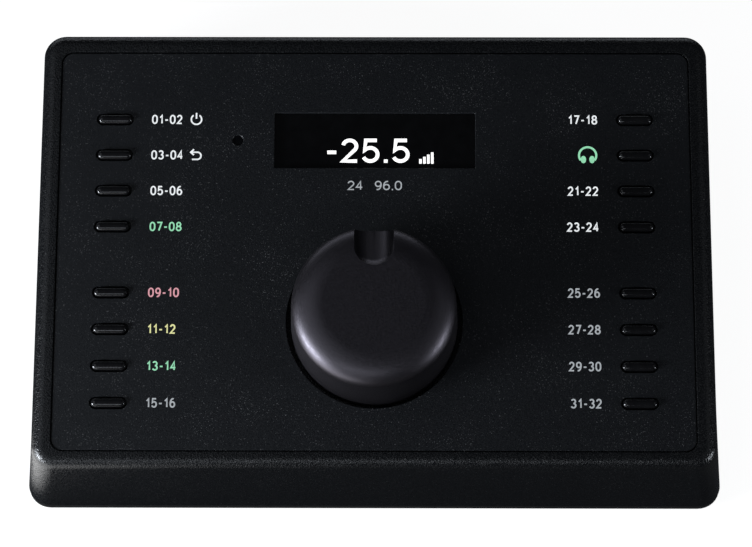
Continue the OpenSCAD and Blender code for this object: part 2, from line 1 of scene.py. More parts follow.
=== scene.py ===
"""Looks of the desktop monitor controller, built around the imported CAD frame.

Lengths are in millimetres and are turned into metres where a mesh is made. The front panel has its
own frame, read from the CAD model: u across, v up the slope, h out of its face.
"""

import json
import math

import bmesh
import bpy
from mathutils import Matrix, Vector


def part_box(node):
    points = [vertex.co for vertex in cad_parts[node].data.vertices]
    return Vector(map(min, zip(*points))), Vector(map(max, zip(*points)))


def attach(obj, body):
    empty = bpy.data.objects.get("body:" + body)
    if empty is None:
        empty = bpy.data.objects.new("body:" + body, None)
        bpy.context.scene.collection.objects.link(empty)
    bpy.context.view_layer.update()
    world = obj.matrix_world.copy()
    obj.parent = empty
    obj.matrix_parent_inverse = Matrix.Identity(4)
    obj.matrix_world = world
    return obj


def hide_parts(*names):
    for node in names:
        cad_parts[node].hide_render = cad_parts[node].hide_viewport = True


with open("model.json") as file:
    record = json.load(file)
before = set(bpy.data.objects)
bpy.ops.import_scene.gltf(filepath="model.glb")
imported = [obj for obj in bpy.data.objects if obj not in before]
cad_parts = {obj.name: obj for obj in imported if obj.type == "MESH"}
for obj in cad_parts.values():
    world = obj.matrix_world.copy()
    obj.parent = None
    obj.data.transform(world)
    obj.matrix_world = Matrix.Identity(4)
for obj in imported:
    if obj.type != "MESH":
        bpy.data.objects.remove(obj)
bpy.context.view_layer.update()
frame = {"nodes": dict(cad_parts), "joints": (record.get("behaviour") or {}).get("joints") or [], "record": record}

MM = 0.001
MERGE_DISTANCE = 1e-7
SCENE = bpy.context.scene

# ------------------------------------------------------------------ sizes, in millimetres

TURN = next(j for j in frame["joints"] if j["name"] == "volume_turn")
NORMAL = Vector(TURN["axis"]).normalized()
ACROSS = Vector((1, 0, 0))
UPHILL = NORMAL.cross(ACROSS)
PIVOT = Vector(TURN["pos_m"])


def node_box(node):
    """Lowest and highest corner of a CAD node, in millimetres."""
    low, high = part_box(node)
    return low / MM, high / MM


def from_pivot(node):
    """Lowest and highest (u, v, h) of a CAD node, measured from the knob's pivot."""
    spans = []
    for direction in (ACROSS, UPHILL, NORMAL):
        reach = [(v.co - PIVOT).dot(direction) / MM for v in frame["nodes"][node].data.vertices]
        spans.append((min(reach), max(reach)))
    return Vector([low for low, _ in spans]), Vector([high for _, high in spans])


PANEL_LOW, PANEL_HIGH = from_pivot("front_panel")
KNOB_V = -PANEL_LOW.y
PANEL_W = PANEL_HIGH.x - PANEL_LOW.x
PANEL_L = PANEL_HIGH.y - PANEL_LOW.y
PANEL_T = PANEL_HIGH.z - PANEL_LOW.z
PANEL_MATRIX = Matrix.Translation(PIVOT - UPHILL * KNOB_V * MM) @ Matrix(
    [(ACROSS[i], UPHILL[i], NORMAL[i]) for i in range(3)]
).to_4x4() @ Matrix.Scale(MM, 4)


def middle(node):
    """The (u, v) of the middle of a CAD node on the panel."""
    low, high = from_pivot(node)
    return (low.x + high.x) / 2, (low.y + high.y) / 2 + KNOB_V


PANEL_CORNER_R = 3.0
PANEL_GAP = 0.25
DECK_T = 2.5
DECK_H = -PANEL_T - DECK_T
PANEL_EDGE_R = 0.22

CASE_LOW, CASE_HIGH = node_box("top_case")
CASE_W = CASE_HIGH.x - CASE_LOW.x
CASE_D = CASE_HIGH.y - CASE_LOW.y
SEAM_Z = CASE_LOW.z
WALL = 2.5
FOOT_CORNER_R = 6.0
TOP_CORNER_R = 6.0
EDGE_R = 3.4
FRONT_INSET = 2.4
BACK_INSET = 2.6
RIM_FRONT = 1.5
RIM_BACK = 2.2
RIM_LIP = 0.3
FOOT_BAND = 0.4

KNOB_R = 22.0
KNOB_TOP_R = 21.4
KNOB_H = 20.5
KNOB_EDGE_R = 5.0
KNOB_EDGE_W = 8.5
KNOB_GAP = 1.2
KNOB_WELL = 4.5
WELL_WALL = 2.8
WELL_FLOOR_T = 2.0
BUSH_R = 4.55
KNOB_FOOT_H = -3.0
KNOB_HOLLOW_R = 9.5
KNOB_HOLLOW_H = 2.0
SLEEVE_R = 5.05
SLEEVE_H = 11.05
NOTCH_R = 5.2
NOTCH_START = 15.2
NOTCH_TILT = math.radians(26)

BUTTON_L = 9.0
BUTTON_W = 2.4
BUTTON_PROUD = 1.0
BUTTON_GAP = 0.4
FLANGE_LAP = 0.8
FLANGE_T = 0.8

WINDOW_W = 53.7
WINDOW_L = 15.4
GLASS_LAP = 2.2
SENSOR_R = 1.45

# Corners of a rectangle as signs of x and y, counterclockwise.
CORNERS = ((1, 1), (-1, 1), (-1, -1), (1, -1))
SIDES = (("left", -1), ("right", 1))
BUTTONS = [(f"button_{side}_{i}", sign, i) for side, sign in SIDES for i in range(1, 9)]
SLOT_L = BUTTON_L + 2 * BUTTON_GAP
SLOT_W = BUTTON_W + 2 * BUTTON_GAP
LEGEND_W = 16.0
LEGEND_L = 4.4

BAY_W = 160.0
BAY_H = 20.0
BAY_FRAME = 2.5
BAY_CORNER_R = 2.0

PORT_BODY_W = 15.9
PORT_W = 11.8
PORT_L = 14.0
PORT_H = 6.8
PORT_SILL = 2.0
LATCH_W = 6.0
LINER_GAP = 0.05
LINER_T = 0.4
CONTACTS = 8
CONTACT_PITCH = 1.02
CONTACT_W = 0.44
# Points round a contact: depth behind the socket's mouth, height over its floor.
CONTACT_OUTLINE = ((2.5, 0.6), (9.5, 3.4), (10.2, 3.5), (10.2, 3.8), (9.5, 3.7), (2.5, 0.9))

# How far a cutter reaches past what it cuts.
OVER = 1.0
ROUND_STEPS = 192


# ------------------------------------------------------------------ mesh helpers


def new_object(name, mesh, body, material):
    """A piece of the object: placed, riding on its body, with its finish."""
    piece = bpy.data.objects.new(name, mesh)
    SCENE.collection.objects.link(piece)
    mesh.materials.clear()
    mesh.materials.append(material)
    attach(piece, body)
    return piece


def mesh_from(verts, faces, matrix=None):
    """A mesh from points in millimetres; matrix, by default a plain scale, takes them to metres."""
    mesh = bpy.data.meshes.new("part")
    mesh.from_pydata([tuple(v) for v in verts], [], faces)
    mesh.transform(matrix if matrix is not None else Matrix.Scale(MM, 4))
    clean(mesh)
    return mesh


def clean(mesh):
    """Merges doubled points, drops faces without area and turns the faces outward."""
    bm = bmesh.new()
    bm.from_mesh(mesh)
    bmesh.ops.remove_doubles(bm, verts=bm.verts, dist=MERGE_DISTANCE)
    bmesh.ops.dissolve_degenerate(bm, edges=bm.edges, dist=MERGE_DISTANCE)
    bmesh.ops.recalc_face_normals(bm, faces=bm.faces)
    bm.to_mesh(mesh)
    bm.free()


def smooth(mesh, angle=30):
    """Smooth shading, except over edges sharper than the angle."""
    mesh.polygons.foreach_set("use_smooth", [True] * len(mesh.polygons))
    mesh.set_sharp_from_angle(angle=math.radians(angle))


def even_normals(piece):
    """Lets the large faces set the shading, so that cuts don't stain them."""
    weighted = piece.modifiers.new("normals", "WEIGHTED_NORMAL")
    weighted.keep_sharp = True


def ring_faces(count, rings):
    """Quads between rings of count points each, with caps at the ends."""
    faces = []
    for r in range(rings - 1):
        for i in range(count):
            j = (i + 1) % count
            a, b = r * count, (r + 1) * count
            faces.append((a + i, a + j, b + j, b + i))
    faces.append(tuple(reversed(range(count))))
    faces.append(tuple(range((rings - 1) * count, rings * count)))
    return faces


def lathe(profile, steps=96, centre=(0, 0), matrix=None):
    """A solid of revolution from (radius, height) pairs, listed from the axis to the axis."""
    verts = []
    for r, h in profile:
        for i in range(steps):
            a = math.tau * i / steps
            verts.append((centre[0] + r * math.cos(a), centre[1] + r * math.sin(a), h))
    return mesh_from(verts, ring_faces(steps, len(profile)), matrix)


def prism(outline, low, high, matrix=None):
    """A straight prism over an outline of (x, y) pairs."""
    verts = [(x, y, h) for h in (low, high) for x, y in outline]
    return mesh_from(verts, ring_faces(len(outline), 2), matrix)


def arc(centre, radius, start, end, steps):
    """Points on an arc, in degrees."""
    points = []
    for i in range(steps + 1):
        a = math.radians(start + (end - start) * i / steps)
        points.append((centre[0] + radius * math.cos(a), centre[1] + radius * math.sin(a)))
    return points


def bow(x, y, rx, ry, start, end, steps=20):
    """Points on part of an ellipse, in degrees."""
    angles = [math.radians(start + (end - start) * i / steps) for i in range(steps + 1)]
    return [(x + rx * math.cos(a), y + ry * math.sin(a)) for a in angles]


def rounded_rectangle(w, l, r, centre=(0, 0), steps=12):
    """The outline of a rectangle with round corners."""
    points = []
    for quarter, (sx, sy) in enumerate(CORNERS):
        centre_of_arc = (centre[0] + sx * (w / 2 - r), centre[1] + sy * (l / 2 - r))
        points += arc(centre_of_arc, r, 90 * quarter, 90 * quarter + 90, steps)
    return points


def stadium(l, w, centre=(0, 0), steps=16):
    """The outline of a slot with round ends."""
    reach = (l - w) / 2
    right = arc((centre[0] + reach, centre[1]), w / 2, -90, 90, steps)
    left = arc((centre[0] - reach, centre[1]), w / 2, 90, 270, steps)
    return right + left


def circle(r, centre=(0, 0), steps=64):
    return arc(centre, r, 0, 360 - 360 / steps, steps - 1)


def combined(meshes):
    """One mesh that holds several."""
    bm = bmesh.new()
    for m in meshes:
        bm.from_mesh(m)
    mesh = bpy.data.meshes.new("combined")
    bm.to_mesh(mesh)
    bm.free()
    return mesh


def boolean(mesh, other, operation):
    """mesh united with, or cut by, other."""
    pair = [bpy.data.objects.new("operand", m) for m in (mesh, other)]
    for o in pair:
        SCENE.collection.objects.link(o)
    step = pair[0].modifiers.new("step", "BOOLEAN")
    step.object = pair[1]
    step.operation = operation
    step.solver = "EXACT"
    bpy.context.view_layer.update()
    graph = bpy.context.evaluated_depsgraph_get()
    result = bpy.data.meshes.new_from_object(pair[0].evaluated_get(graph))
    for o in pair:
        bpy.data.objects.remove(o)
    result.materials.clear()
    return result


def plate(outlines, low, high, edge_r):
    """A flat plate with holes and rounded edges, from a filled curve in the panel's frame."""
    curve = bpy.data.curves.new("plate", "CURVE")
    curve.dimensions = "2D"
    curve.fill_mode = "BOTH"
    curve.extrude = (high - low) / 2 - edge_r
    curve.bevel_depth = edge_r
    curve.bevel_resolution = 2
    curve.offset = -edge_r
    for outline in outlines:
        spline = curve.splines.new("POLY")
        spline.points.add(len(outline) - 1)
        for point, (x, y) in zip(spline.points, outline):
            point.co = (x, y, 0, 1)
        spline.use_cyclic_u = True
    holder = bpy.data.objects.new("plate", curve)
    SCENE.collection.objects.link(holder)
    bpy.context.view_layer.update()
    graph = bpy.context.evaluated_depsgraph_get()
    mesh = bpy.data.meshes.new_from_object(holder.evaluated_get(graph))
    bpy.data.objects.remove(holder)
    mesh.transform(PANEL_MATRIX @ Matrix.Translation((0, 0, (low + high) / 2)))
    clean(mesh)
    return mesh


# ------------------------------------------------------------------ materials


RANGE_ENDS = ("From Min", "From Max", "To Min", "To Max")


class Shader:
    """Builds one procedural material, node by node."""

    def __init__(self, name):
        self.material = bpy.data.materials.new(name)
        self.material.use_nodes = True
        self.tree = self.material.node_tree
        self.surface = self.tree.nodes["Principled BSDF"]
        self.place = self.node("ShaderNodeTexCoord").outputs["Object"]

    def node(self, kind, **settings):
        made = self.tree.nodes.new(kind)
        for key, value in settings.items():
            if key in made.inputs:
                made.inputs[key].default_value = value
            else:
                setattr(made, key, value)
        return made

    def link(self, out, into):
        self.tree.links.new(out, into)

    def noise(self, scale, detail=2.0, roughness=0.5):
        made = self.node("ShaderNodeTexNoise", Scale=scale, Detail=detail, Roughness=roughness)
        self.link(self.place, made.inputs["Vector"])
        return made.outputs["Fac"]

    def ramp(self, value, stops):
        made = self.node("ShaderNodeValToRGB")
        elements = made.color_ramp.elements
        while len(elements) < len(stops):
            elements.new(0.5)
        for element, (place, colour) in zip(elements, stops):
            element.position = place
            element.color = (*colour, 1)
        self.link(value, made.inputs["Fac"])
        return made.outputs["Color"]

    def span(self, value, low, high):
        """Maps noise, which keeps near the middle of 0 to 1, onto low to high."""
        made = self.node("ShaderNodeMapRange")
        for key, number in zip(RANGE_ENDS, (0.3, 0.7, low, high)):
            made.inputs[key].default_value = number
        self.link(value, made.inputs["Value"])
        return made.outputs["Result"]

    def set(self, **values):
        for key, value in values.items():
            self.surface.inputs[key.replace("_", " ")].default_value = value

    def colour(self, out):
        self.link(out, self.surface.inputs["Base Color"])

    def roughness(self, out):
        self.link(out, self.surface.inputs["Roughness"])

    def bump(self, out, strength, distance):
        made = self.node("ShaderNodeBump", Strength=strength, Distance=distance)
        self.link(out, made.inputs["Height"])
        self.link(made.outputs["Normal"], self.surface.inputs["Normal"])


# Painted glints: pale specks painted into the colour stand for the glints of the grain. They gather where a broad
# noise, of the scale of patches, is high.
GLINT_PATCH_SCALE = 70
GLINT_PATCH_SHARE = 0.22
GLINT_SPECK_SCALE = 3000


def grained_paint(name, dark, light, rough, level, grain, height, glint_speck, mottle):
    """Fine-grained matt paint that glints unevenly, with painted glints: pale specks in loose patches,
    painted into its colour, that stand for the glints of its grain.

    level is the specular level, grain and height are the bumps' scale and height, speck is how much
    paler the painted glints are, and mottle is how far the roughness strays from rough.
    """
    s = Shader(name)
    s.surface.inputs["Specular IOR Level"].default_value = level
    # Painted glints: the palest stop of the colour ramp paints the grain's glints into the colour.
    painted_glint = (light[1] * glint_speck,) * 3
    painted_glint_mask = s.node("ShaderNodeMath", operation="MULTIPLY_ADD")
    s.link(s.noise(GLINT_PATCH_SCALE, 2.0), painted_glint_mask.inputs[0])
    painted_glint_mask.inputs[1].default_value = GLINT_PATCH_SHARE
    s.link(s.noise(GLINT_SPECK_SCALE, 1.0), painted_glint_mask.inputs[2])
    s.colour(s.ramp(painted_glint_mask.outputs["Value"], [(0.4, dark), (0.80, light), (0.86, painted_glint)]))
    s.roughness(s.span(s.noise(grain, 1.0), rough * (1 - mottle), rough * (1 + mottle)))
    s.bump(s.noise(grain * 0.9, 1.0), 1.0, height)
    return s.material


def smooth_plastic(name, colour, rough, level=0.5, grain=900, height=2e-6):
    """Moulded plastic: near-even colour, faint waviness."""
    s = Shader(name)
    s.surface.inputs["Specular IOR Level"].default_value = level
    tone = s.noise(grain, 2.0)
    lighter = tuple(c * 1.25 + 0.001 for c in colour)
    s.colour(s.ramp(tone, [(0.3, colour), (0.7, lighter)]))
    s.roughness(s.span(s.noise(grain * 2, 2.0), rough * 0.85, rough * 1.15))
    s.bump(tone, 0.6, height)
    return s.material


def metal(name, colour, rough, height=3e-6, scale=2500):
    """Blasted or plated metal, with a fine grain."""
    s = Shader(name)
    s.set(Metallic=1.0)
    grain = s.noise(scale, 3.0, 0.6)
    lighter = tuple(min(1.0, c * 1.15) for c in colour)
    s.colour(s.ramp(grain, [(0.3, colour), (0.7, lighter)]))
    s.roughness(s.span(s.noise(scale * 0.6), rough * 0.8, rough * 1.2))
    s.bump(grain, 0.7, height)
    return s.material


def glow(name, colour, strength):
    """Light through a printed window, a little uneven."""
    s = Shader(name)
    s.surface.inputs["Emission Strength"].default_value = strength
    s.set(Base_Color=(0.02, 0.02, 0.02, 1), Roughness=0.6)
    edge = tuple(c * 0.86 for c in colour)
    tone = s.ramp(s.noise(1200, 1.0), [(0.35, edge), (0.65, colour)])
    s.link(tone, s.surface.inputs["Emission Color"])
    return s.material


CASE_PAINT = grained_paint(
    "case_paint", (0.0028, 0.0031, 0.0036), (0.0050, 0.0055, 0.0063),
    rough=0.27, level=0.48, grain=2900, height=1.1e-4, glint_speck=4, mottle=0.75)
PANEL_PAINT = grained_paint(
    "panel_paint", (0.0056, 0.0062, 0.0074), (0.0094, 0.0105, 0.0122),
    rough=0.40, level=0.34, grain=2800, height=4e-5, glint_speck=9, mottle=0.3)
BASE_PLASTIC = grained_paint(
    "base_plastic", (0.008,) * 3, (0.012,) * 3,
    rough=0.5, level=0.5, grain=3000, height=1.6e-5, glint_speck=3, mottle=0.2)
GLASS = smooth_plastic("display_glass", (0.0016, 0.0016, 0.0018), 0.07, 0.5, 300, 5e-7)
LENS = smooth_plastic("sensor_lens", (0.0008, 0.0011, 0.0016), 0.12, 0.4)
GUIDE = smooth_plastic("light_guide", (0.70, 0.75, 0.78), 0.25)
BOARD = smooth_plastic("circuit_board", (0.012, 0.075, 0.03), 0.35)
DARK_PLASTIC = smooth_plastic("dark_plastic", (0.012, 0.012, 0.013), 0.38, 0.5, 1500, 6e-6)
STEEL = metal("steel", (0.50, 0.50, 0.51), 0.30)
BLACK_STEEL = metal("black_steel", (0.03, 0.03, 0.032), 0.36)
BRASS = metal("brass", (0.60, 0.44, 0.19), 0.28)
KNOB_METAL = metal("knob_metal", (0.070, 0.065, 0.074), 0.42, 1.0e-6, 5200)
RIBBON = smooth_plastic("ribbon", (0.34, 0.35, 0.37), 0.5)
BUTTON_GLOSS = smooth_plastic("button_gloss", (0.0045, 0.0045, 0.005), 0.10, 0.5, 600, 1e-6)
RUBBER = smooth_plastic("rubber", (0.010,) * 3, 0.75, 0.3, 2200, 8e-6)

FINISHES = {
    "case_paint": CASE_PAINT, "panel_paint": PANEL_PAINT, "base_plastic": BASE_PLASTIC,
    "display_glass": GLASS, "sensor_lens": LENS, "light_guide": GUIDE, "circuit_board": BOARD,
    "dark_plastic": DARK_PLASTIC, "steel": STEEL, "black_steel": BLACK_STEEL, "brass": BRASS,
    "knob_metal": KNOB_METAL, "ribbon": RIBBON, "button_gloss": BUTTON_GLOSS, "rubber": RUBBER,
}


def finish_cad_nodes():
    """Gives every CAD node the material of its slot in the record."""
    for part in frame["record"]["subparts"]:
        node = frame["nodes"][part["node"]]
        node.data.materials.clear()
        node.data.materials.append(FINISHES[part["material_slot"]])


# ------------------------------------------------------------------ case

CORNER_STEPS = 14
EDGE_STEPS = 14
WALL_STEPS = 5
SIDE_STEPS = 6
SEAM_CHAMFER = 0.15


def inset(sy):
    """How far the rounded edge stands in from the foot, for the front or the back corners."""
    return FRONT_INSET if sy < 0 else BACK_INSET


def corner_column(sx, sy, azimuth):
    """One column of the shell at a corner, from the foot to the top of the rounded edge."""
    a = math.radians(azimuth)
    out = Vector((math.cos(a), math.sin(a), 0))
    foot = Vector((sx * (CASE_W / 2 - FOOT_CORNER_R), sy * (CASE_D / 2 - FOOT_CORNER_R), SEAM_Z))
    foot = foot + out * FOOT_CORNER_R
    if sy < 0:
        v = -RIM_FRONT - EDGE_R + TOP_CORNER_R
    else:
        v = PANEL_L + RIM_BACK + EDGE_R - TOP_CORNER_R
    u = sx * (CASE_W / 2 - inset(sy) - TOP_CORNER_R)

    def on_edge(b):
        """The point of the rounded edge at angle b from its side, and its direction outward."""
        r = TOP_CORNER_R - EDGE_R + EDGE_R * math.cos(b)
        local = Vector((u + r * out.x, v + r * out.y, RIM_LIP - EDGE_R + EDGE_R * math.sin(b)))
        across = Vector((math.cos(b) * out.x, math.cos(b) * out.y, math.sin(b)))
        return PANEL_MATRIX @ local / MM, (PANEL_MATRIX.to_3x3() @ across).normalized()

    top_of_band = foot + Vector((0, 0, FOOT_BAND))
    # The wall meets the rounded edge where it touches it without a bend.
    low, high = math.radians(-40), math.radians(60)
    for _ in range(30):
        halfway = (low + high) / 2
        point, across = on_edge(halfway)
        if (top_of_band - point).dot(across) > 0:
            low = halfway
        else:
            high = halfway
    start = (low + high) / 2
    column = [foot - out * SEAM_CHAMFER, foot + Vector((0, 0, SEAM_CHAMFER))]
    first = on_edge(start)[0]
    for i in range(WALL_STEPS):
        column.append(top_of_band.lerp(first, (i / WALL_STEPS) ** 0.7))
    for i in range(EDGE_STEPS + 1):
        b = start + (math.pi / 2 - start) * i / EDGE_STEPS
        column.append(on_edge(b)[0])
    return column


def panel_column(sx, sy, azimuth, half_w, v_low, v_high, r, heights):
    """Points above each other on a rounded outline in the panel's frame."""
    a = math.radians(azimuth)
    v = v_low + r if sy < 0 else v_high - r
    points = []
    for grow, h in heights:
        x = sx * (half_w - r) + (r + grow) * math.cos(a)
        y = v + (r + grow) * math.sin(a)
        points.append(PANEL_MATRIX @ Vector((x, y, h)) / MM)
    return points


def around(column_of):
    """Columns round the case: four corners, joined by straight sides."""
    corners = []
    for quarter, (sx, sy) in enumerate(CORNERS):
        corners.append([
            column_of(sx, sy, 90 * quarter + 90 * i / CORNER_STEPS) for i in range(CORNER_STEPS + 1)
        ])
    columns = []
    for k, corner in enumerate(corners):
        columns += corner
        after = corners[(k + 1) % 4][0]
        for i in range(1, SIDE_STEPS):
            t = i / SIDE_STEPS
            columns.append([p.lerp(q, t) for p, q in zip(corner[-1], after)])
    return columns


def shell_column(sx, sy, azimuth):
    """One column of the closed shell: inside, foot, outside wall, rounded edge, rim, recess."""
    rim_r = PANEL_CORNER_R + PANEL_GAP
    lip = PANEL_EDGE_R
    recess = panel_column(
        sx, sy, azimuth, PANEL_W / 2 + PANEL_GAP, -PANEL_GAP, PANEL_L + PANEL_GAP, rim_r,
        [(lip, RIM_LIP), (lip * 0.3, RIM_LIP - lip * 0.3), (0, RIM_LIP - lip), (0, -PANEL_T)])
    inner_r = FOOT_CORNER_R - WALL
    a = math.radians(azimuth)
    inner_foot = Vector((
        sx * (CASE_W / 2 - FOOT_CORNER_R) + inner_r * math.cos(a),
        sy * (CASE_D / 2 - FOOT_CORNER_R) + inner_r * math.sin(a), SEAM_Z))
    inner_top = panel_column(
        sx, sy, azimuth, CASE_W / 2 - inset(sy) - WALL, -RIM_FRONT - EDGE_R + WALL,
        PANEL_L + RIM_BACK + EDGE_R - WALL, inner_r, [(0, DECK_H)])
    return inner_top + [inner_foot] + corner_column(sx, sy, azimuth) + recess


def swept(column_of):
    """A closed solid from the columns round the case."""
    columns = around(column_of)
    rings = len(columns[0])
    verts = [column[r] for r in range(rings) for column in columns]
    return mesh_from(verts, ring_faces(len(columns), rings))


def case_cutters():
    """Everything that is cut out of the shell."""
    through_deck = [stadium(SLOT_L, SLOT_W, middle(node)) for node, _, _ in BUTTONS]
    glass_w, glass_l = WINDOW_W + 2 * GLASS_LAP, WINDOW_L + 2 * GLASS_LAP
    through_deck.append(rounded_rectangle(glass_w, glass_l, 0.2, middle("display_glass"), 2))
    through_deck.append(circle(SENSOR_R, middle("sensor_lens"), 32))
    guide_u = middle("legend_guide_right")[0]
    for node, sign, _ in BUTTONS:
        place = (sign * guide_u, middle(node)[1])
        through_deck.append(rounded_rectangle(LEGEND_W, LEGEND_L, 0.2, place, 2))
    well = prism(circle(KNOB_R + KNOB_GAP, (0, KNOB_V), ROUND_STEPS), -KNOB_WELL, 3, PANEL_MATRIX)
    return [well] + [prism(o, DECK_H - OVER, OVER, PANEL_MATRIX) for o in through_deck]


def rear_prism(w, h, r, y_near, y_far):
    """A prism along Y that has the outline of the rear bay."""
    low, high = node_box("rear_plate")
    outline = rounded_rectangle(w, h, r, (0, (low.z + high.z) / 2))
    turn = Matrix.Rotation(math.pi / 2, 4, "X")
    return prism(outline, -y_far, -y_near, Matrix.Scale(MM, 4) @ turn)


def build_case():
    mesh = swept(shell_column)
    well_r = KNOB_R + KNOB_GAP + WELL_WALL
    well_low, well_high = -KNOB_WELL - WELL_FLOOR_T, DECK_H + DECK_T / 2
    well = lathe([(0, well_low), (well_r, well_low), (well_r, well_high), (0, well_high)],
                 96, (0, KNOB_V), PANEL_MATRIX)
    mesh = boolean(mesh, well, "UNION")
    plate_y = node_box("rear_plate")[1].y
    frame_block = rear_prism(BAY_W + 2 * BAY_FRAME, BAY_H + 2 * BAY_FRAME, 0.5, plate_y, CASE_D)
    frame_block = boolean(frame_block, swept(corner_column), "INTERSECT")
    mesh = boolean(mesh, frame_block, "UNION")
    mesh = boolean(mesh, combined(case_cutters()), "DIFFERENCE")
    bush = prism(circle(BUSH_R, (0, KNOB_V), 48), well_low - OVER, 0, PANEL_MATRIX)
    mesh = boolean(mesh, bush, "DIFFERENCE")
    bay = rear_prism(BAY_W, BAY_H, BAY_CORNER_R, plate_y - OVER, CASE_D)
    mesh = boolean(mesh, bay, "DIFFERENCE")
    smooth(mesh)
    case = new_object("case_shell", mesh, "case", CASE_PAINT)
    even_normals(case)
    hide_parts("top_case")


def build_panel():
    outlines = [rounded_rectangle(PANEL_W, PANEL_L, PANEL_CORNER_R, (0, PANEL_L / 2))]
    outlines.append(circle(KNOB_R + KNOB_GAP, (0, KNOB_V), ROUND_STEPS))
    outlines += [stadium(SLOT_L, SLOT_W, middle(node)) for node, _, _ in BUTTONS]
    outlines.append(rounded_rectangle(WINDOW_W, WINDOW_L, 0.3, middle("display_glass"), 3))
    outlines.append(circle(SENSOR_R, middle("sensor_lens"), 40))
    mesh = plate(outlines, -PANEL_T, 0, PANEL_EDGE_R)
    smooth(mesh, 25)
    panel = new_object("panel_plate", mesh, "case", PANEL_PAINT)
    even_normals(panel)
    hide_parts("front_panel")


# ------------------------------------------------------------------ knob


def trough(r, tilt, start, top, matrix):
    """The two cutters of the notch: a round-floored trough that runs out of the knob's back, and
    the ball that ends it."""
    side_h = 12
    outline = arc((0, 0), r, 0, 180, 32) + [(-r, -side_h), (r, -side_h)]
    turn = Matrix.Translation((0, start, top)) @ Matrix.Rotation(-math.pi / 2 - tilt, 4, "X")
    run = prism(outline, 0, KNOB_R, matrix @ turn)
    angles = [math.pi * i / 32 for i in range(33)]
    half_circle = [(r * math.sin(a), -r * math.cos(a)) for a in angles]
    ball = lathe(half_circle, 64, (0, 0), matrix @ Matrix.Translation((0, start, top)))
    return run, ball


def build_knob():
    place = PANEL_MATRIX @ Matrix.Translation((0, KNOB_V, 0))
    chamfer = 0.3
    side_top = KNOB_H - KNOB_EDGE_R
    profile = [(0, KNOB_FOOT_H), (KNOB_R - chamfer, KNOB_FOOT_H), (KNOB_R, KNOB_FOOT_H + chamfer)]
    profile += [(KNOB_R + (KNOB_TOP_R - KNOB_R) * t, KNOB_FOOT_H + (side_top - KNOB_FOOT_H) * t)
                for t in (0.2, 0.4, 0.6, 0.8, 0.95)]
    profile += bow(KNOB_TOP_R - KNOB_EDGE_W, side_top, KNOB_EDGE_W, KNOB_EDGE_R, 0, 90, 28)
    profile += [(8, KNOB_H), (4, KNOB_H), (0, KNOB_H)]
    mesh = lathe(profile, ROUND_STEPS, (0, 0), place)
    for cutter in trough(NOTCH_R, NOTCH_TILT, NOTCH_START, KNOB_H, place):
        mesh = boolean(mesh, cutter, "DIFFERENCE")
    foot, sleeve_top = KNOB_FOOT_H - OVER, KNOB_HOLLOW_H + SLEEVE_H
    inside = [(0, foot), (KNOB_HOLLOW_R, foot), (KNOB_HOLLOW_R, KNOB_HOLLOW_H),
              (SLEEVE_R, KNOB_HOLLOW_H), (SLEEVE_R, sleeve_top), (0, sleeve_top)]
    mesh = boolean(mesh, lathe(inside, 64, (0, 0), place), "DIFFERENCE")
    smooth(mesh, 25)
    knob = new_object("knob_turned", mesh, "knob", KNOB_METAL)
    even_normals(knob)
    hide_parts("volume_knob")


# ------------------------------------------------------------------ buttons


def button_mesh():
    """One button about its own middle: domed cap and flange, from rings of round-ended outlines."""
    dome_low = 0.1
    dome = bow(0, dome_low, BUTTON_W / 2, BUTTON_PROUD - dome_low, 0, 90, 12)
    flange = BUTTON_W / 2 + BUTTON_GAP + FLANGE_LAP
    levels = [(flange, DECK_H - FLANGE_T), (flange, DECK_H), (BUTTON_W / 2, DECK_H)] + dome
    reach = (BUTTON_L - BUTTON_W) / 2
    steps = 14
    straight = 10
    verts = []
    for rho, h in levels:
        ring = []
        for side in (1, -1):
            start = -90 if side > 0 else 90
            ring += arc((side * reach, 0), rho, start, start + 180, steps)
            ring += [(side * reach - side * 2 * reach * i / straight, side * rho)
                     for i in range(1, straight)]
        verts += [(x, y, h) for x, y in ring]
    count = len(verts) // len(levels)
    return mesh_from(verts, ring_faces(count, len(levels)), Matrix.Identity(4))


def build_buttons():
    for node, _, _ in BUTTONS:
        u, v = middle(node)
        mesh = button_mesh()
        mesh.transform(PANEL_MATRIX @ Matrix.Translation((u, v, 0)))
        clean(mesh)
        smooth(mesh)
        cap = new_object(f"cap_{node}", mesh, node, BUTTON_GLOSS)
        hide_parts(node)


# ------------------------------------------------------------------ network sockets


def block(low, high):
    """A box between two corners."""
    outline = [(low[0], low[1]), (high[0], low[1]), (high[0], high[1]), (low[0], high[1])]
    return prism(outline, low[2], high[2])


